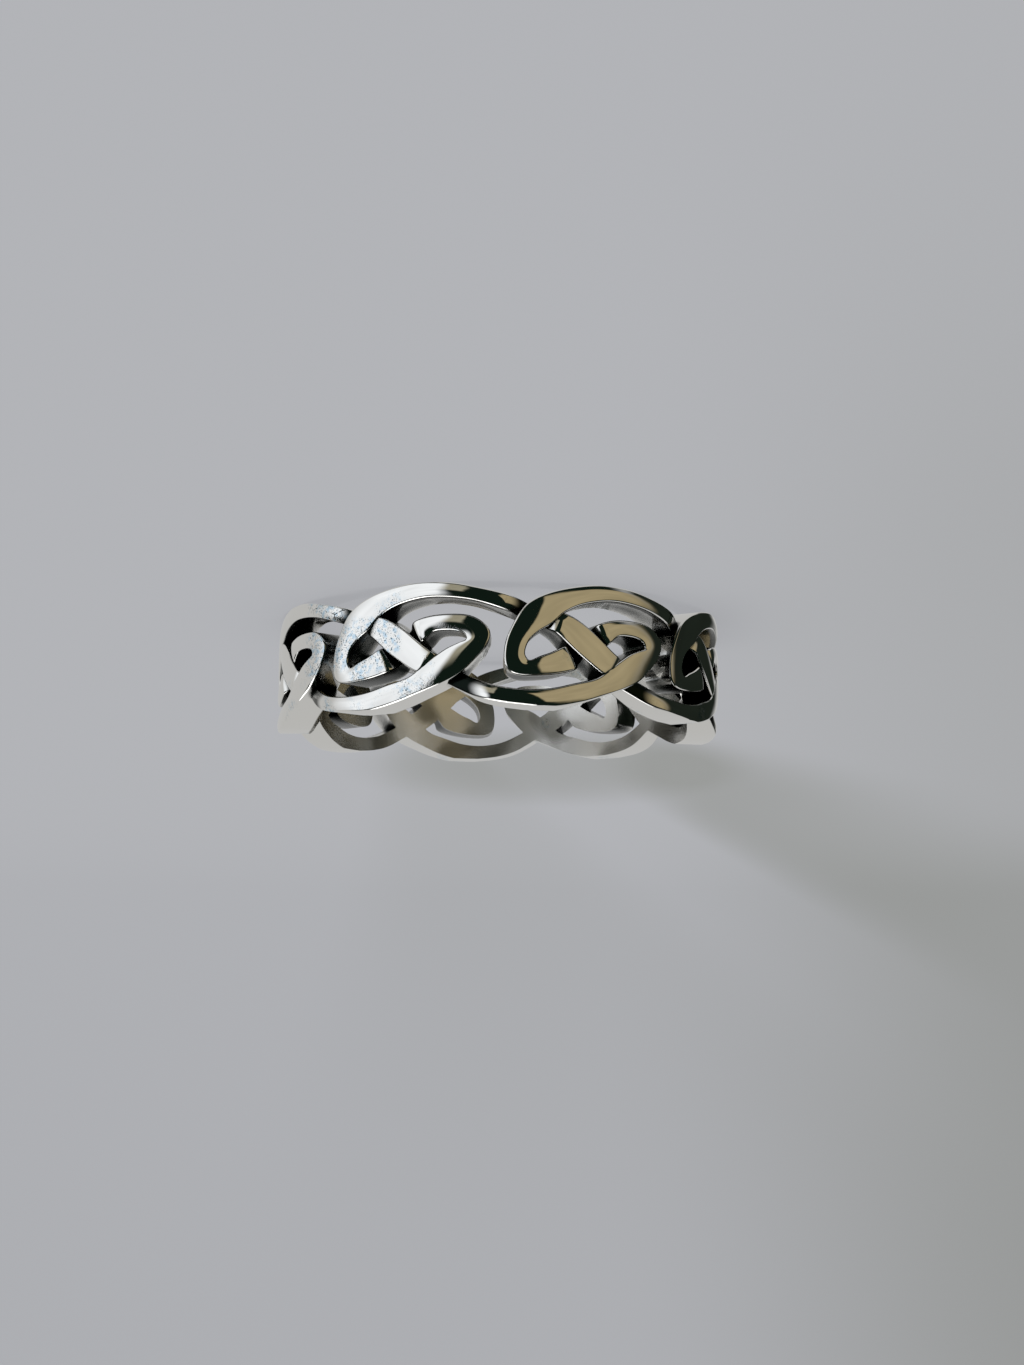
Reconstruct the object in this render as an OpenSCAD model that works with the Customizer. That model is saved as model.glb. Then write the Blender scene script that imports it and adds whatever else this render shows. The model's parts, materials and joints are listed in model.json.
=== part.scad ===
// Friendship ring: a cast silver band, pierced through as an endless interlaced knot.
// The ring lies on its side. The finger hole runs along Z and the lowest loops rest on z = 0.

/* [Finger hole] */
// Inside diameter of the finger hole
bore_d = 17.3; // [15:0.1:21]

/* [Band] */
// Width of the band, along the finger hole
band_w = 5.1; // [4.6:0.1:6]
// Thickness of the metal where a strand passes over
wall = 1.45; // [1.2:0.05:2]
// Number of times that the knot repeats around the band
repeats = 8; // [7:1:9]

/* [Strands] */
// How far a strand dips where it passes under another
dip = 0.5; // [0.2:0.05:0.7]
// Width of the worn edge along each side of a strand
edge_w = 0.09; // [0.05:0.01:0.2]
// Depth of the worn edge below the strand's face
edge_h = 0.1; // [0.05:0.01:0.2]
// Height of the crown along the middle of a strand
crown = 0.04; // [0:0.01:0.08]

/* [Hidden] */

outer_r = bore_d / 2 + wall;
pitch = 360 / repeats;
// Depth of the strands' feet below the finger hole's surface, before the hole is cut
foot = 0.4;
// Steps along a strand between two rows of its table
steps = 2;
// How far the cylinders that trim the band reach past it
clearance = 1;
// Facets round the finger hole, and round the trim outside the band
bore_facets = 192;
trim_facets = 96;

// Each row is one rung across a strand, from its outer edge to its inner edge.
// Along is counted in hundredths of a repeat from the middle of the repeat, across in
// hundredths of half the band's width, and under is how much of the dip the row takes.
OUT_ALONG = 0;
OUT_ACROSS = 1;
IN_ALONG = 2;
IN_ACROSS = 3;
UNDER = 4;

// The upper hook starts under the strap, turns up the left side and arches over to the right,
// where it goes under the next repeat's upper hook and carries on as that repeat's strap
UPPER_HOOK = [
    [2, -14, -4, 9, 100],
    [-3, -27, -8, 3, 90],
    [-7, -38, -12, -4, 8],
    [-16, -46, -18, -19, 0],
    [-27, -48, -26, -21, 0],
    [-37, -45, -32, -18, 0],
    [-44, -34, -35, -12, 0],
    [-48, -17, -35, -5, 0],
    [-46, 6, -31, 0, 0],
    [-40, 27, -25, 8, 0],
    [-32, 49, -19, 20, 0],
    [-22, 65, -12, 36, 0],
    [-9, 80, -4, 52, 0],
    [4, 93, 8, 62, 0],
    [20, 102, 20, 71, 0],
    [36, 99, 33, 74, 0],
    [49, 94, 46, 70, 5],
    [61, 84, 57, 60, 40],
    [76, 62, 72, 39, 100]
];

// The lower hook is a little fuller. Its rows are those seen with the band turned half round
LOWER_HOOK = [
    [2, -14, -4, 9, 100],
    [-3, -28, -9, 4, 90],
    [-7, -40, -13, -2, 8],
    [-16, -48, -20, -13, 0],
    [-27, -52, -26, -20, 0],
    [-37, -52, -31, -27, 0],
    [-43, -44, -33, -24, 0],
    [-45, -25, -34, -14, 0],
    [-44, 4, -32, 3, 0],
    [-40, 33, -27, 18, 0],
    [-34, 61, -20, 32, 0],
    [-24, 80, -13, 51, 0],
    [-9, 94, -3, 66, 0],
    [9, 102, 11, 75, 0],
    [27, 99, 24, 75, 0],
    [42, 90, 38, 69, 0],
    [56, 80, 51, 58, 15],
    [65, 71, 60, 49, 55],
    [73, 60, 69, 38, 100]
];

// The strap crosses the repeat's middle over the hooks, and both of its ends dip under them
STRAP = [
    [-20, 54, -26, 26, 100],
    [-11, 47, -19, 15, 10],
    [-5, 38, -14, 5, 0],
    [7, 11, -3, -23, 0],
    [13, -5, 5, -40, 0],
    [18, -18, 12, -50, 0],
    [27, -33, 24, -60, 100]
];

// Catmull-Rom curve through four rows, from the second (t = 0) to the third (t = 1)
function between(a, b, c, d, t) =
    (2 * b + (c - a) * t + (2 * a - 5 * b + 4 * c - d) * t * t + (3 * b - a - 3 * c + d) * t * t * t) / 2;

// Row of a table, carried on in a straight line past either end
function row(table, i) =
    let (last = len(table) - 1)
    i < 0 ? 2 * table[0] - table[1] : i > last ? 2 * table[last] - table[last - 1] : table[i];

// All rungs of a strand, with the curve's extra ones between the table's rows
function rungs(table) = [
    for (i = [0 : len(table) - 2], k = [0 : steps - 1])
        between(row(table, i - 1), table[i], table[i + 1], row(table, i + 2), k / steps),
    table[len(table) - 1]
];

// Point on the ring: a share s of the way across a rung, at radius r
function on_ring(rung, s, r) =
    let (
        along = rung[OUT_ALONG] + s * (rung[IN_ALONG] - rung[OUT_ALONG]),
        across = rung[OUT_ACROSS] + s * (rung[IN_ACROSS] - rung[OUT_ACROSS]),
        turn = along * pitch / 100
    )
    [r * cos(turn), r * sin(turn), across * band_w / 200];

// Length of a rung on the outer surface
function rung_length(rung) =
    norm([
        (rung[IN_ALONG] - rung[OUT_ALONG]) / 100 * pitch * PI / 180 * outer_r,
        (rung[IN_ACROSS] - rung[OUT_ACROSS]) * band_w / 200
    ]);

// Cross-section of a strand at a rung: feet, sides, worn edges and crowned face
function section(rung) =
    let (
        top = outer_r - dip * max(0, min(100, rung[UNDER])) / 100,
        e = edge_w / rung_length(rung)
    )
    [
        on_ring(rung, 0, bore_d / 2 - foot),
        on_ring(rung, 0, top - edge_h - crown),
        on_ring(rung, e, top - crown),
        on_ring(rung, 0.5, top),
        on_ring(rung, 1 - e, top - crown),
        on_ring(rung, 1, top - edge_h - crown),
        on_ring(rung, 1, bore_d / 2 - foot)
    ];

module strand(table) {
    rings = [for (rung = rungs(table)) section(rung)];
    n = len(rings[0]);
    last = len(rings) - 1;
    polyhedron(
        points = [for (ring = rings) each ring],
        faces = [
            [for (j = [0 : n - 1]) j],
            [for (j = [n - 1 : -1 : 0]) last * n + j],
            for (i = [0 : last - 1], j = [0 : n - 1])
                let (a = i * n + j, b = i * n + (j + 1) % n)
                each [[a, a + n, b], [b, a + n, b + n]]
        ]
    );
}

// One repeat of the knot: the strap and its two hooks
module knot_repeat() {
    strand(STRAP);
    strand(UPPER_HOOK);
    rotate([180, 0, 0]) strand(LOWER_HOOK);
}

module knot_band() {
    color("silver")
        translate([0, 0, band_w / 2])
            difference() {
                intersection() {
                    union() {
                        for (i = [0 : repeats - 1]) rotate([0, 0, i * pitch]) knot_repeat();
                    }
                    cylinder(h = band_w, r = outer_r + clearance, center = true, $fn = trim_facets);
                }
                cylinder(h = band_w + 2 * clearance, d = bore_d, center = true, $fn = bore_facets);
            }
}

knot_band();
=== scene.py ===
"""Friendship ring: a polished silver band, pierced through as an endless interlaced knot."""

import json
import math

import bmesh
import bpy
from mathutils import Matrix, Vector


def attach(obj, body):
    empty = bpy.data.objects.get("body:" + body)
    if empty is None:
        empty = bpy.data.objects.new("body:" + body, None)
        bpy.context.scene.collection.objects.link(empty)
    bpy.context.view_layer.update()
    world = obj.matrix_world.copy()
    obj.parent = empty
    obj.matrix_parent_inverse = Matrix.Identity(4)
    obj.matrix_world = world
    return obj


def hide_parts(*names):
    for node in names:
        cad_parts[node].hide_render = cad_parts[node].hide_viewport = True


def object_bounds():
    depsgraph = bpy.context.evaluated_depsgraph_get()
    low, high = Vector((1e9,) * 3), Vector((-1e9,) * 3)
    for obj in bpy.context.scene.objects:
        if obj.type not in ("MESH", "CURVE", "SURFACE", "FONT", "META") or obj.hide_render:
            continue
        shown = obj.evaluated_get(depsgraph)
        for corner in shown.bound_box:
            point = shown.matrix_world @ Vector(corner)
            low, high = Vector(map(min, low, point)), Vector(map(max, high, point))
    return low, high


bl_info = {
    "name": "Friendship Ring",
    "version": (1, 0, 0),
    "blender": (4, 5, 0),
    "location": "3D View > Sidebar > Ring",
    "description": "Models a pierced silver knot band on a plain studio table",
    "category": "Add Mesh",
}

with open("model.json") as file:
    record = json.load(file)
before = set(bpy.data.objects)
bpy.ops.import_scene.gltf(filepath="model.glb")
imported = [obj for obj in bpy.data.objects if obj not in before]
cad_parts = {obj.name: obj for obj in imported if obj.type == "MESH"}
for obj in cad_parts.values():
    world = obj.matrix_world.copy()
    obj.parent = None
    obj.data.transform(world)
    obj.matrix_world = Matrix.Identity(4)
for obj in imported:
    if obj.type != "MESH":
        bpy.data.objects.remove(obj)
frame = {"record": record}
LOWEST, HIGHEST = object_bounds()
FINGER_HOLE = next(m for m in frame["record"]["mounts"] if m["name"] == "finger_hole")

MM = 0.001
PIECE = "knot_band_polished"

# Depth of the strands' feet below the finger hole's surface, before the hole is cut
FOOT = 0.4 * MM
# Steps round a strand's edge, across its face, and along it between two rows of its table
ROUND_STEPS = 5
FACE_STEPS = 6
ROW_STEPS = 6
# Sides of the cylinder that trims the band and of the one that cuts the finger hole
TRIM_SIDES = 96
BORE_SIDES = 720
# Edges shorter than this are dissolved after the strands are united
SLIVER = 0.0005 * MM
# Faces that meet at a greater angle than this keep a sharp edge
SHARP_ANGLE = math.radians(35)

# Each row is one rung across a strand, from its outer edge to its inner edge: along and
# across at the outer edge, along and across at the inner edge, and the share of the dip.
# Along is in hundredths of a repeat, across in hundredths of half the band's width.
UPPER_HOOK = [
    (2, -14, -4, 9, 100),
    (-3, -27, -8, 3, 90),
    (-7, -38, -12, -4, 8),
    (-16, -46, -18, -19, 0),
    (-27, -48, -26, -21, 0),
    (-37, -45, -32, -18, 0),
    (-44, -34, -35, -12, 0),
    (-48, -17, -35, -5, 0),
    (-46, 6, -31, 0, 0),
    (-40, 27, -25, 8, 0),
    (-32, 49, -19, 20, 0),
    (-22, 65, -12, 36, 0),
    (-9, 80, -4, 52, 0),
    (4, 93, 8, 62, 0),
    (20, 102, 20, 71, 0),
    (36, 99, 33, 74, 0),
    (49, 94, 46, 70, 5),
    (61, 84, 57, 60, 40),
    (76, 62, 72, 39, 100),
]
# The lower hook's rows are those seen with the band turned half round
LOWER_HOOK = [
    (2, -14, -4, 9, 100),
    (-3, -28, -9, 4, 90),
    (-7, -40, -13, -2, 8),
    (-16, -48, -20, -13, 0),
    (-27, -52, -26, -20, 0),
    (-37, -52, -31, -27, 0),
    (-43, -44, -33, -24, 0),
    (-45, -25, -34, -14, 0),
    (-44, 4, -32, 3, 0),
    (-40, 33, -27, 18, 0),
    (-34, 61, -20, 32, 0),
    (-24, 80, -13, 51, 0),
    (-9, 94, -3, 66, 0),
    (9, 102, 11, 75, 0),
    (27, 99, 24, 75, 0),
    (42, 90, 38, 69, 0),
    (56, 80, 51, 58, 15),
    (65, 71, 60, 49, 55),
    (73, 60, 69, 38, 100),
]
STRAP = [
    (-20, 54, -26, 26, 100),
    (-11, 47, -19, 15, 10),
    (-5, 38, -14, 5, 0),
    (7, 11, -3, -23, 0),
    (13, -5, 5, -40, 0),
    (18, -18, 12, -50, 0),
    (27, -33, 24, -60, 100),
]


class BandSizes(bpy.types.PropertyGroup):
    bore_radius: bpy.props.FloatProperty(
        name="Finger hole radius",
        description="Inside radius of the band",
        default=FINGER_HOLE["dims"]["r_mm"] * MM,
        subtype="DISTANCE",
    )
    outer_radius: bpy.props.FloatProperty(
        name="Outer radius",
        description="Radius over the strands that pass on top",
        default=HIGHEST.x,
        subtype="DISTANCE",
    )
    width: bpy.props.FloatProperty(
        name="Band width",
        description="Width of the band along the finger hole",
        default=HIGHEST.z - LOWEST.z,
        subtype="DISTANCE",
    )
    repeats: bpy.props.IntProperty(
        name="Repeats",
        description="Number of times that the knot repeats around the band",
        default=8,
    )
    dip: bpy.props.FloatProperty(
        name="Dip",
        description="How far a strand dips where it passes under another",
        default=0.5 * MM,
        subtype="DISTANCE",
    )
    edge_width: bpy.props.FloatProperty(
        name="Edge width",
        description="Width of the rounded edge along each side of a strand",
        default=0.09 * MM,
        subtype="DISTANCE",
    )
    edge_depth: bpy.props.FloatProperty(
        name="Edge depth",
        description="Depth of the rounded edge below the strand's face",
        default=0.1 * MM,
        subtype="DISTANCE",
    )
    crown: bpy.props.FloatProperty(
        name="Crown",
        description="Height of the crown along the middle of a strand",
        default=0.04 * MM,
        subtype="DISTANCE",
    )


class SilverLook(bpy.types.PropertyGroup):
    metal: bpy.props.FloatVectorProperty(
        name="Metal",
        description="Colour of the polished silver",
        default=(0.93, 0.92, 0.89),
        subtype="COLOR",
    )
    # Colour of the oxidised hollows, also used for the painted shade on the gaps' walls
    oxide: bpy.props.FloatVectorProperty(
        name="Oxide",
        description="Colour of the oxide in the recesses",
        default=(0.008, 0.012, 0.01),
        subtype="COLOR",
    )
    polish: bpy.props.FloatProperty(
        name="Roughness",
        description="Roughness of the polished faces",
        default=0.035,
        min=0,
        max=1,
    )
    wear: bpy.props.FloatProperty(
        name="Wear",
        description="How far the worn patches reach",
        default=0.17,
        min=0,
        max=0.4,
    )


class StudioSettings(bpy.types.PropertyGroup):
    azimuth: bpy.props.FloatProperty(
        name="Camera azimuth",
        description="Turn of the camera round the finger hole, from the +X axis",
        default=math.radians(21.5),
        subtype="ANGLE",
    )
    elevation: bpy.props.FloatProperty(
        name="Camera elevation",
        description="Height of the camera above the table, as an angle",
        default=math.radians(9.32),
        subtype="ANGLE",
    )
    roll: bpy.props.FloatProperty(
        name="Camera roll",
        description="Turn of the camera about its own line of sight",
        default=math.radians(180.2),
        subtype="ANGLE",
    )
    distance: bpy.props.FloatProperty(
        name="Camera distance",
        description="Distance from the camera to the middle of the ring",
        default=77.2 * MM,
        subtype="DISTANCE",
    )
    lens: bpy.props.FloatProperty(
        name="Lens",
        description="Focal length of the camera",
        default=43.96,
        subtype="DISTANCE_CAMERA",
    )
    shift: bpy.props.FloatProperty(
        name="Camera shift",
        description="Sideways shift of the camera's picture, as a share of its width",
        default=0.01,
    )
    table_tone: bpy.props.FloatVectorProperty(
        name="Table",
        description="Tone of the table and the sweep behind it",
        default=(0.412, 0.42, 0.445),
        subtype="COLOR",
    )


def deselect():
    if bpy.context.object and bpy.context.object.mode != "OBJECT":
        bpy.ops.object.mode_set(mode="OBJECT")
    bpy.ops.object.select_all(action="DESELECT")


def activate(ob):
    deselect()
    ob.select_set(True)
    bpy.context.view_layer.objects.active = ob


def between(a, b, c, d, t):
    """Catmull-Rom value through four rows' numbers, from b at 0 to c at 1."""
    return (
        2 * b
        + (c - a) * t
        + (2 * a - 5 * b + 4 * c - d) * t * t
        + (3 * b - a - 3 * c + d) * t * t * t
    ) / 2


def rungs(table):
    """The table's rows and the curve's extra ones between them."""
    first = [2 * p - q for p, q in zip(table[0], table[1])]
    last = [2 * p - q for p, q in zip(table[-1], table[-2])]
    rows = [first, *table, last]
    found = []
    for i in range(1, len(table)):
        for step in range(ROW_STEPS):
            found.append(
                [between(*four, step / ROW_STEPS) for four in zip(*rows[i - 1 : i + 3])]
            )
    return [*found, list(table[-1])]


def section(sizes, rung):
    """Points of a strand's cross-section at one rung, from foot to foot over its crowned face."""
    out_along, out_across, in_along, in_across, under = rung
    top = sizes.outer_radius - sizes.dip * max(0, min(100, under)) / 100
    pitch = 2 * math.pi / sizes.repeats
    length = math.hypot(
        (in_along - out_along) / 100 * pitch * sizes.outer_radius,
        (in_across - out_across) / 200 * sizes.width,
    )
    edge = sizes.edge_width / length
    profile = [(0, sizes.bore_radius - FOOT)]
    for i in range(ROUND_STEPS):
        turn = math.pi / 2 * i / ROUND_STEPS
        profile.append(
            (
                edge * (1 - math.cos(turn)),
                top - sizes.crown - sizes.edge_depth * (1 - math.sin(turn)),
            )
        )
    for i in range(FACE_STEPS + 1):
        t = i / FACE_STEPS
        bulge = 1 - (2 * t - 1) ** 2
        profile.append((edge + t * (1 - 2 * edge), top - sizes.crown * (1 - bulge)))
    profile += [(1 - s, r) for s, r in reversed(profile[: ROUND_STEPS + 1])]
    points = []
    for s, r in profile:
        turn = (out_along + s * (in_along - out_along)) / 100 * pitch
        across = (out_across + s * (in_across - out_across)) / 200 * sizes.width
        points.append(Vector((r * math.cos(turn), r * math.sin(turn), across)))
    return points


def strand(name, sizes, table):
    """Extrudes one section from rung to rung along the strand, in edit mode."""
    rows = rungs(table)
    deselect()
    bpy.ops.mesh.primitive_circle_add(
        vertices=len(section(sizes, rows[0])), radius=MM, fill_type="NGON"
    )
    ob = bpy.context.object
    ob.name = name
    bpy.ops.object.mode_set(mode="EDIT")
    mesh = bmesh.from_edit_mesh(ob.data)
    order = mesh.verts.layers.int.new("order")
    for i, vert in enumerate(mesh.verts):
        vert[order] = i
    for i, row in enumerate(rows):
        if i:
            bpy.ops.mesh.extrude_region_move()
            mesh = bmesh.from_edit_mesh(ob.data)
            order = mesh.verts.layers.int["order"]
        places = section(sizes, row)
        for vert in mesh.verts:
            if vert.select:
                vert.co = places[vert[order]]
        bmesh.update_edit_mesh(ob.data)
    bpy.ops.mesh.select_all(action="SELECT")
    bpy.ops.mesh.normals_make_consistent(inside=False)
    bpy.ops.object.mode_set(mode="OBJECT")
    return ob


def combine(ob, operation, other):
    """Joins other to ob, cuts it from ob or keeps what both share, and removes other."""
    activate(ob)
    change = ob.modifiers.new(operation.lower(), "BOOLEAN")
    change.operation = operation
    change.solver = "MANIFOLD"
    change.object = other
    bpy.ops.object.modifier_apply(modifier=change.name)
    bpy.data.objects.remove(other)


def turned_copy(ob, matrix):
    copy = ob.copy()
    copy.data = ob.data.copy()
    copy.data.transform(matrix)
    bpy.context.scene.collection.objects.link(copy)
    return copy


def cylinder(radius, depth, sides):
    deselect()
    bpy.ops.mesh.primitive_cylinder_add(vertices=sides, radius=radius, depth=depth)
    return bpy.context.object


class Wire:
    """A value in a node tree. Arithmetic on it adds Math nodes."""

    def __init__(self, graph, socket):
        self.graph = graph
        self.socket = socket

    def math(self, operation, *others, swap=False):
        values = (*others, self) if swap else (self, *others)
        return self.graph.add("ShaderNodeMath", {"operation": operation}, *values)

    def __add__(self, other):
        return self.math("ADD", other)

    def __sub__(self, other):
        return self.math("SUBTRACT", other)

    def __rsub__(self, other):
        return self.math("SUBTRACT", other, swap=True)

    def __mul__(self, other):
        return self.math("MULTIPLY", other)

    def __truediv__(self, other):
        return self.math("DIVIDE", other)

    __radd__ = __add__
    __rmul__ = __mul__

    def __rtruediv__(self, other):
        return self.math("DIVIDE", other, swap=True)

    def __getitem__(self, name):
        return Wire(self.graph, self.socket.node.outputs[name])

    def ramp(self, low, high):
        """0 below low, 1 above high and a soft step between them."""
        settings = {"interpolation_type": "SMOOTHSTEP"}
        named = {"From Min": low, "From Max": high}
        return self.graph.add("ShaderNodeMapRange", settings, self, **named)


class Graph:
    """The node tree of a material or a world, empty at first."""

    def __init__(self, owner):
        owner.use_nodes = True
        self.tree = owner.node_tree
        self.tree.nodes.clear()

    def add(self, kind, settings=None, *values, **named):
        """Adds a node, sets it up and fills its inputs. Gives its first output that is in use."""
        node = self.tree.nodes.new(kind)
        for name, value in (settings or {}).items():
            setattr(node, name, value)
        inputs = [socket for socket in node.inputs if socket.enabled]
        by_name = {socket.name: socket for socket in reversed(inputs)}
        filled = [*zip(inputs, values), *((by_name[name], named[name]) for name in named)]
        for socket, value in filled:
            if isinstance(value, Wire):
                self.tree.links.new(value.socket, socket)
            else:
                socket.default_value = value
        outputs = [socket for socket in node.outputs if socket.enabled]
        return Wire(self, outputs[0]) if outputs else None

    def noise(self, place, scale, detail):
        """Soft noise between 0 and 1."""
        return self.add("ShaderNodeTexNoise", None, place, Scale=scale, Detail=detail)

    def stretch(self, place, turn, scale):
        """The place turned and stretched, for a pattern with a grain."""
        return self.add("ShaderNodeMapping", None, place, Rotation=turn, Scale=scale)

    def mix(self, share, first, second):
        """A colour between two."""
        return self.add("ShaderNodeMix", {"data_type": "RGBA"}, share, first, second)


# Middle of the side that rubs on other rings, as an angle from the +X axis
RUBBED_AZIMUTH = math.radians(59)
# Colours of the fine haze and the dark specks where the silver is worn, and of the painted dim
# reflections in the finger hole
HAZE = (0.6, 0.74, 0.84, 1)
SPECK = (0.09, 0.14, 0.17, 1)
PAINTED_DIM_REFLECTION = (0.15, 0.14, 0.1, 1)


def silver(sizes, look):
    """Polished silver with waves and scratches from hand polishing, oxidised recesses, painted
    shade in the small gaps and painted dim reflections in the finger hole.
    """
    material = bpy.data.materials.new("silver")
    graph = Graph(material)
    at = graph.add("ShaderNodeTexCoord")
    place = at["Object"]
    axes = graph.add("ShaderNodeSeparateXYZ", None, place)
    x, y = axes["X"], axes["Y"]
    radius = (x * x + y * y).math("SQRT")
    normal = graph.add("ShaderNodeSeparateXYZ", None, at["Normal"])
    outward = (normal["X"] * x + normal["Y"] * y) / radius
    depth = (sizes.outer_radius - radius) / MM
    in_hole = radius.ramp(sizes.bore_radius + 0.05 * MM, sizes.bore_radius + 0.02 * MM)
    # Oxidised silver in the corners between strands; down the walls of the small gaps the dark is
    # partly oxidised silver and partly painted shade
    local = {"samples": 8, "only_local": True}
    corner = graph.add("ShaderNodeAmbientOcclusion", local, Distance=0.45 * MM)["AO"]
    gap = graph.add("ShaderNodeAmbientOcclusion", local, Distance=1.6 * MM)["AO"]
    sunk = depth.ramp(0.14, 0.3) * outward.ramp(0.3, 0.6)
    hollow = (1 - corner.ramp(0.6, 0.85)).math("MAXIMUM", sunk)
    wall = (1 - outward.ramp(0.4, 0.85)) * (1 - gap.ramp(0.42, 0.6))
    # Painted shadow: a dark line on the gaps' walls, right under the strands' faces
    ragged = depth + graph.noise(place, 1800, 1) * 0.2
    inner = (normal["Z"] * (axes["Z"] - sizes.width / 2) / MM).ramp(0.3, 0)
    shadow_line = ragged.ramp(0.5, 0.4) * (1 - outward.ramp(0.3, 0.6)) * inner * 0.9
    # The dark is oxidised silver in the hollows, painted shade on the small gaps' walls and a
    # painted shadow line under the strands' faces
    oxide = hollow.math("MAXIMUM", wall).math("MAXIMUM", shadow_line) * (1 - in_hole)
    face = outward.ramp(0.75, 0.95)
    # The side that rubs on other rings is worn; there are small worn patches elsewhere
    rubbed_side = x * math.cos(RUBBED_AZIMUTH) + y * math.sin(RUBBED_AZIMUTH)
    rubbed_side = (rubbed_side / sizes.outer_radius).ramp(0.9, 0.985)
    patches = graph.noise(place, 420, 2)
    worn = (patches + rubbed_side * look.wear).ramp(0.6, 0.7)
    # Waves of hand polishing, then scratches in three directions and fine pits where it's worn
    waves = graph.noise(place, 700, 1) * 0.008 + graph.noise(place, 2200, 1) * 0.0012
    scratch = 0
    for turn in (0.3, 1.25, 2.4):
        grain = graph.stretch(place, (turn, 0.35 * turn, 0.8 * turn), (26000, 900, 26000))
        scratch = graph.noise(grain, 1, 1).ramp(0.66, 0.74) + scratch
    pits = graph.noise(place, 14000, 2).ramp(0.5, 0.75)
    specks = graph.noise(place, 16000, 1).ramp(0.59, 0.68) * worn
    haze = graph.noise(place, 4500, 2).ramp(0.45, 0.65) * worn
    height = waves - (scratch * 0.0008 + pits * 0.005) * worn
    bump = graph.add("ShaderNodeBump", None, Height=height * face, Distance=MM)
    # Hair-thin cracks at some crossings, where the strands were soldered
    cell = {"feature": "DISTANCE_TO_EDGE"}
    edges = graph.add("ShaderNodeTexVoronoi", cell, place, Scale=1400)["Distance"]
    soldered = depth.ramp(0.03, 0.12) * graph.noise(place, 260, 0).ramp(0.5, 0.56)
    broken = graph.noise(place, 2600, 1).ramp(0.42, 0.5)
    crack = (1 - edges.ramp(0.015, 0.04)) * soldered * broken * outward.ramp(0.8, 0.9)
    dark = oxide.math("MAXIMUM", crack)
    colour = graph.mix(haze, (*look.metal, 1), HAZE)
    colour = graph.mix(specks, colour, SPECK)
    # The finger hole isn't polished as often, so it is rougher; its darker, tan patches are
    # painted dim reflections
    dim_reflection = graph.noise(place, 400, 1).ramp(0.42, 0.6) * 0.75 * in_hole
    colour = graph.mix(dim_reflection, colour, PAINTED_DIM_REFLECTION)
    # One dark colour for the oxidised hollows, the painted shade and the painted shadow line
    colour = graph.mix(dark, colour, (*look.oxide, 1))
    roughness = look.polish + worn * 0.05 + dark * 0.2 + in_hole * 0.2
    named = {"Base Color": colour, "Metallic": 1.0, "Roughness": roughness, "Normal": bump}
    surface = graph.add("ShaderNodeBsdfPrincipled", None, **named)
    graph.add("ShaderNodeOutputMaterial", None, surface)
    return material


class RING_OT_band(bpy.types.Operator):
    """Models the knot band from its strands, which are united, lapped flat and bored"""

    bl_idname = "ring.band"
    bl_label = "Knot Band"

    def execute(self, context):
        sizes = context.scene.ring_band
        band = strand(PIECE, sizes, STRAP)
        combine(band, "UNION", strand("upper_hook", sizes, UPPER_HOOK))
        lower = strand("lower_hook", sizes, LOWER_HOOK)
        lower.data.transform(Matrix.Rotation(math.pi, 4, "X"))
        combine(band, "UNION", lower)
        pitch = 2 * math.pi / sizes.repeats
        copies = [
            turned_copy(band, Matrix.Rotation(i * pitch, 4, "Z"))
            for i in range(1, sizes.repeats)
        ]
        for copy in copies:
            combine(band, "UNION", copy)
        combine(band, "INTERSECT", cylinder(sizes.outer_radius + MM, sizes.width, TRIM_SIDES))
        bore = cylinder(sizes.bore_radius, sizes.width + MM, BORE_SIDES)
        combine(band, "DIFFERENCE", bore)
        band.data.transform(Matrix.Translation((0, 0, sizes.width / 2)))
        activate(band)
        bpy.ops.object.mode_set(mode="EDIT")
        bpy.ops.mesh.select_all(action="SELECT")
        bpy.ops.mesh.dissolve_degenerate(threshold=SLIVER)
        bpy.ops.object.mode_set(mode="OBJECT")
        bpy.ops.object.shade_smooth_by_angle(angle=SHARP_ANGLE)
        band.data.materials.clear()
        band.data.materials.append(silver(sizes, context.scene.ring_silver))
        if not band.data.polygons:
            raise RuntimeError("the strands didn't unite")
        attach(band, "root")
        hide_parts("knot_band")
        return {"FINISHED"}


def glow(name, tone, fades):
    """A card that shines softly and unevenly, and fades out at its edges."""
    material = bpy.data.materials.new(name)
    graph = Graph(material)
    place = graph.add("ShaderNodeTexCoord")["UV"]
    spot = graph.add("ShaderNodeSeparateXYZ", None, place)
    left, right, lower, upper = fades
    across, up = spot["X"], spot["Y"]
    shown = across.ramp(0, left) * (1 - across).ramp(0, right)
    shown = shown * up.ramp(0, lower) * (1 - up).ramp(0, upper)
    clear = graph.add("ShaderNodeBsdfTransparent")
    dim, bright = ((*(value * share for value in tone), 1) for share in (0.8, 1.2))
    shine = graph.add("ShaderNodeEmission", None, graph.mix(graph.noise(place, 4, 1), dim, bright))
    both = graph.add("ShaderNodeMixShader", None, shown, clear, shine)
    graph.add("ShaderNodeOutputMaterial", None, both)
    material.cycles.emission_sampling = "NONE"
    return material


def toward(azimuth, elevation):
    """Direction at an azimuth from +X and an elevation above the table."""
    return Vector(
        (
            math.cos(elevation) * math.cos(azimuth),
            math.cos(elevation) * math.sin(azimuth),
            math.sin(elevation),
        )
    )


# Strips that a card is made of, so that it curves round the ring
CARD_STRIPS = 24
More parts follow.
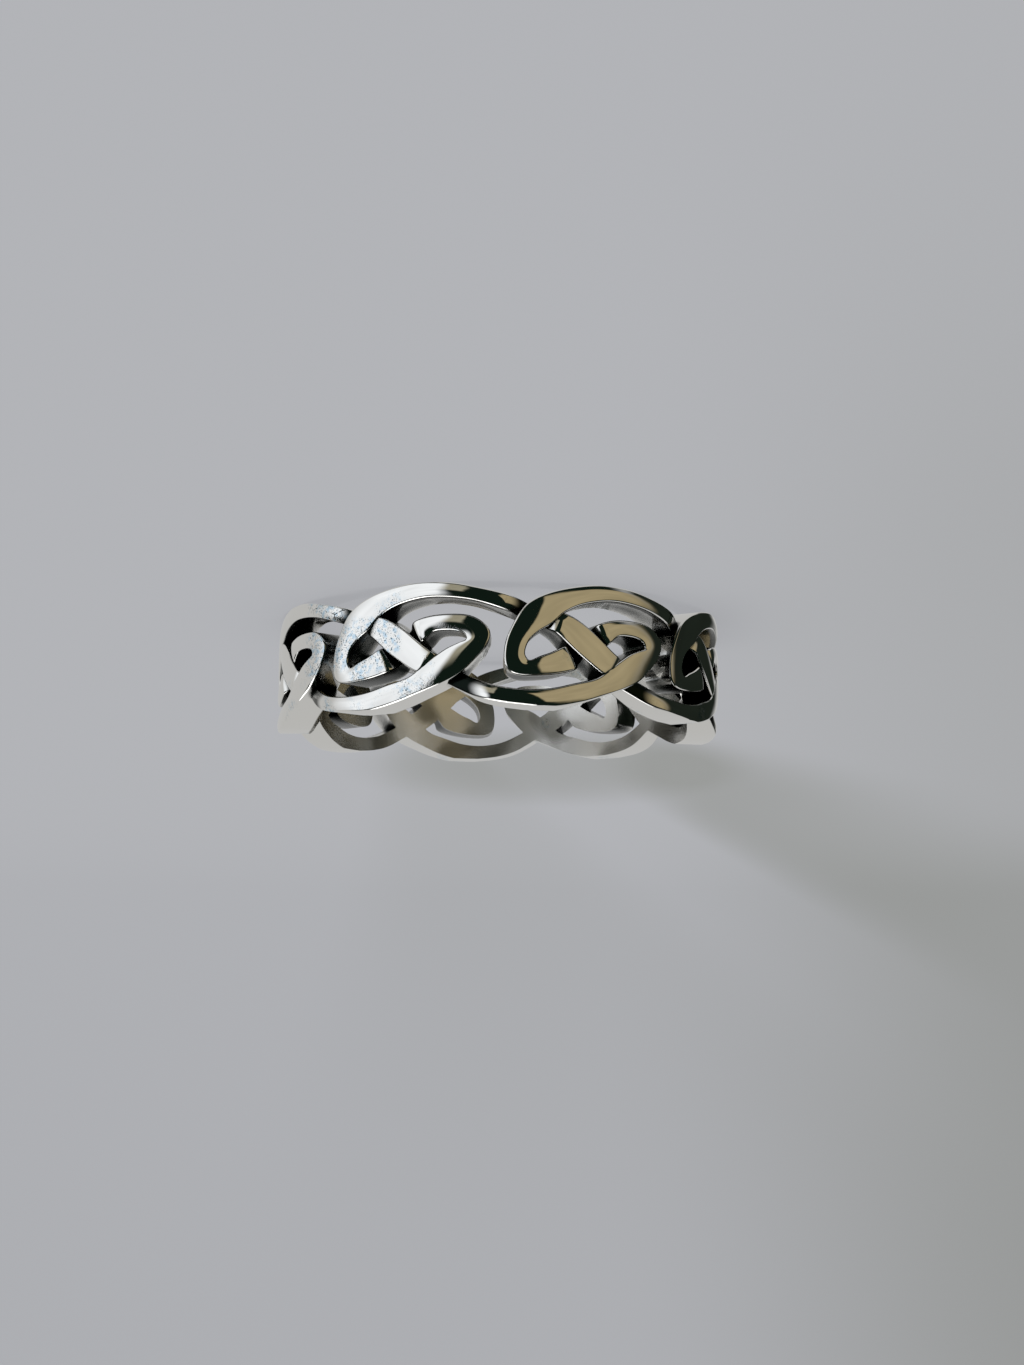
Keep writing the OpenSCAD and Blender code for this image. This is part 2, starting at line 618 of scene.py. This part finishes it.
# Cards that only the polished metal sees. Angles run from the camera towards the right of
# its picture: from and to at the card's foot, from and to at its head, then the foot's and
# the head's angle above the table, the distance, the share of the card over which its left,
# right, lower and upper edges fade, and the tone
CARDS = {
    "window": (-104, -22, -100, -25, -42, 16, 0.20, (0.35, 0.1, 0.1, 0.1), (0.9, 0.93, 0.97)),
    "dim_card": (-40, -9, -38, -18, -40, -4, 0.22, (0.1, 0.12, 0.1, 0.25), (0.3, 0.28, 0.21)),
    "tan_card": (14, 90, 22, 88, -30, 12, 0.16, (0.03, 0.35, 0.1, 0.1), (0.34, 0.28, 0.165)),
    "shade_card": (70, 160, 70, 158, -40, 30, 0.22, (0.15, 0.2, 0.1, 0.1), (0.012, 0.016, 0.012)),
    "lamp": (-60, -20, -60, -20, 40, 75, 0.20, (0.1, 0.1, 0.1, 0.1), (1.2, 1.2, 1.2)),
}

# The soft lamp over the ring: its place, its width and its power in watts
SOFTBOX_PLACE = Vector((-0.02, 0.05, 0.3))
SOFTBOX_WIDTH = 0.25
SOFTBOX_POWER = 0.25

# The table's light and shade fan out from a point over the table: how far round the ring
# it is from the +X axis, how far in front of the ring's middle and how high
SHADE_AZIMUTH = math.radians(21.5)
FAN_FRONT = 77.2 * MM
FAN_HEIGHT = 15 * MM
# Tone of the table in its deepest shade
SHADED = (0.27, 0.278, 0.268, 1)
# Share of the table's tone that is its own light, so that it stays even
OWN_LIGHT = 0.85


def matt_table(pale):
    """A pale matt table, with the ring's soft shade in its tone."""
    material = bpy.data.materials.new("table")
    graph = Graph(material)
    axes = graph.add("ShaderNodeSeparateXYZ", None, graph.add("ShaderNodeTexCoord")["Object"])
    sine, cosine = math.sin(SHADE_AZIMUTH), math.cos(SHADE_AZIMUTH)
    right = axes["X"] * sine - axes["Y"] * cosine
    beyond = axes["X"] * -cosine - axes["Y"] * sine
    # Places on the table are slopes from the fan's point: across to the right, and down
    away = beyond + FAN_FRONT
    across, low = right / away, (FAN_HEIGHT - axes["Z"]) / away
    # The light falls off towards the right, more so at the back
    falloff = across.ramp(0.05, 0.35) * (low.ramp(0.09, 0.03) * 0.45 + 0.4)
    # The ring's shade: a streak that widens to the right, a faint one back and one under it
    off = (low + across * 0.39 - 0.147) / (across * 0.17 + 0.007)
    streak = (off * off).ramp(1.5, 0) * across.ramp(0.05, 0.13) * (1 - across.ramp(0.1, 0.35))
    back = 0.11 - low
    aside = (across + 0.034 - back * 0.5) / (back * 0.7 + 0.035)
    faint = (aside * aside).ramp(1.5, 0) * low.ramp(-0.3, 0.11) * low.ramp(0.16, 0.12)
    wide, high = (across - 0.03) / 0.12, (low - 0.112) / 0.024
    under = (wide * wide + high * high).ramp(1.2, 0)
    shade = falloff + streak * 0.75 + faint * 0.2 + under * 0.7
    # None of it lies behind the fan's point
    ahead = away.ramp(0.01, 0.06)
    tone = graph.mix(shade * ahead, (*pale, 1), SHADED)
    matt = graph.add("ShaderNodeBsdfDiffuse", None, (0.8, 0.8, 0.8, 1))
    lit = graph.add("ShaderNodeEmission", None, tone, 1.0)
    both = graph.add("ShaderNodeMixShader", None, OWN_LIGHT, matt, lit)
    graph.add("ShaderNodeOutputMaterial", None, both)
    material.cycles.emission_sampling = "NONE"
    return material


class RING_OT_stage(bpy.types.Operator):
    """Adds the camera, the table and the lights"""

    bl_idname = "ring.stage"
    bl_label = "Studio"

    def execute(self, context):
        studio = context.scene.ring_studio
        centre = (LOWEST + HIGHEST) / 2
        data = bpy.data.cameras.new("camera")
        data.lens = studio.lens
        data.shift_x = studio.shift
        data.clip_start = MM
        camera = bpy.data.objects.new("camera", data)
        context.scene.collection.objects.link(camera)
        back = toward(studio.azimuth, studio.elevation)
        camera.matrix_world = (
            Matrix.Translation(centre + back * studio.distance)
            @ back.to_track_quat("Z", "Y").to_matrix().to_4x4()
            @ Matrix.Rotation(studio.roll, 4, "Z")
        )
        context.scene.camera = camera
        self.table(studio)
        for name, card in CARDS.items():
            self.card(name, studio, centre, *card)
        light = bpy.data.lights.new("softbox", "AREA")
        light.shape = "DISK"
        light.size = SOFTBOX_WIDTH
        light.energy = SOFTBOX_POWER
        softbox = bpy.data.objects.new("softbox", light)
        softbox.location = SOFTBOX_PLACE
        softbox.rotation_euler = (-SOFTBOX_PLACE).to_track_quat("-Z", "Y").to_euler()
        softbox.visible_camera = False
        context.scene.collection.objects.link(softbox)
        self.room(context, back)
        context.scene.view_settings.view_transform = "Standard"
        return {"FINISHED"}

    def room(self, context, back):
        """The room that the metal reflects: pale all round, but dark in front of the ring."""
        world = bpy.data.worlds.new("studio")
        context.scene.world = world
        graph = Graph(world)
        ray = graph.add("ShaderNodeLightPath")
        sight = graph.add("ShaderNodeTexCoord")["Generated"]
        facing = graph.add("ShaderNodeVectorMath", {"operation": "DOT_PRODUCT"}, sight, back)
        pale, dark, even = (0.5, 0.5, 0.495, 1), (0.005, 0.01, 0.007, 1), (0.8, 0.8, 0.8, 1)
        tone = graph.mix(facing.ramp(0.0, 0.3), pale, dark)
        # The table is lit evenly
        tone = graph.mix(ray["Is Diffuse Ray"], tone, even)
        air = graph.add("ShaderNodeBackground", None, tone, 1.0)
        graph.add("ShaderNodeOutputWorld", None, air)

    def card(self, name, studio, centre, *shape):
        """One upright curved card, a strip of a cylinder wall round the ring."""
        foot_from, foot_to, head_from, head_to, low, high, distance, fades, tone = shape
        deselect()
        bpy.ops.mesh.primitive_grid_add(x_subdivisions=CARD_STRIPS, y_subdivisions=1, size=1)
        card = bpy.context.object
        card.name = name
        for vert in card.data.vertices:
            right, up = vert.co.x + 0.5, vert.co.y + 0.5
            foot = foot_from + right * (foot_to - foot_from)
            head = head_from + right * (head_to - head_from)
            across = foot + up * (head - foot)
            rise = math.radians(low + up * (high - low))
            turn = studio.azimuth - math.radians(across)
            vert.co = centre + distance * Vector(
                (math.cos(turn), math.sin(turn), math.tan(rise))
            )
        card.data.materials.append(glow(name, tone, fades))
        card.visible_camera = card.visible_diffuse = card.visible_shadow = False

    def table(self, studio):
        """A round table that curves up into a wall all round, with no edge to see."""
        radius, bend, steps, sides = 0.3, 0.3, 12, 96
        deselect()
        bpy.ops.mesh.primitive_circle_add(vertices=sides, radius=radius, fill_type="NGON")
        table = bpy.context.object
        table.name = "table"
        bpy.ops.object.mode_set(mode="EDIT")
        bpy.ops.mesh.select_mode(type="EDGE")
        bpy.ops.mesh.select_all(action="DESELECT")
        bpy.ops.mesh.select_non_manifold()
        for step in range(steps):
            turn, after = (math.pi / 2 * i / steps for i in (step, step + 1))
            wide = radius + bend * math.sin(turn)
            wider = radius + bend * math.sin(after)
            rise = bend * (math.cos(turn) - math.cos(after))
            bpy.ops.mesh.extrude_edges_move(
                TRANSFORM_OT_translate={"value": (0, 0, rise)}
            )
            scale = wider / wide
            bpy.ops.transform.resize(value=(scale, scale, 1), center_override=(0, 0, 0))
        bpy.ops.mesh.extrude_edges_move(TRANSFORM_OT_translate={"value": (0, 0, bend)})
        bpy.ops.object.mode_set(mode="OBJECT")
        bpy.ops.object.shade_smooth()
        table.data.materials.append(matt_table(studio.table_tone))
        table.visible_glossy = False


class RING_PT_panel(bpy.types.Panel):
    """Lists the ring's sizes, its metal, the studio and the steps"""

    bl_idname = "RING_PT_panel"
    bl_label = "Friendship Ring"
    bl_space_type = "VIEW_3D"
    bl_region_type = "UI"
    bl_category = "Ring"

    def draw(self, context):
        scene = context.scene
        for group in (scene.ring_band, scene.ring_silver, scene.ring_studio):
            for name in type(group).__annotations__:
                self.layout.prop(group, name)
        for step in STEPS:
            self.layout.operator(step.bl_idname)


STEPS = (RING_OT_band, RING_OT_stage)
CLASSES = (BandSizes, SilverLook, StudioSettings, *STEPS, RING_PT_panel)


def register():
    for cls in CLASSES:
        bpy.utils.register_class(cls)
    bpy.types.Scene.ring_band = bpy.props.PointerProperty(type=BandSizes)
    bpy.types.Scene.ring_silver = bpy.props.PointerProperty(type=SilverLook)
    bpy.types.Scene.ring_studio = bpy.props.PointerProperty(type=StudioSettings)


def unregister():
    del bpy.types.Scene.ring_band
    del bpy.types.Scene.ring_silver
    del bpy.types.Scene.ring_studio
    for cls in reversed(CLASSES):
        bpy.utils.unregister_class(cls)


def main():
    register()
    bpy.ops.ring.band()
    bpy.ops.ring.stage()


if __name__ == "__main__":
    main()
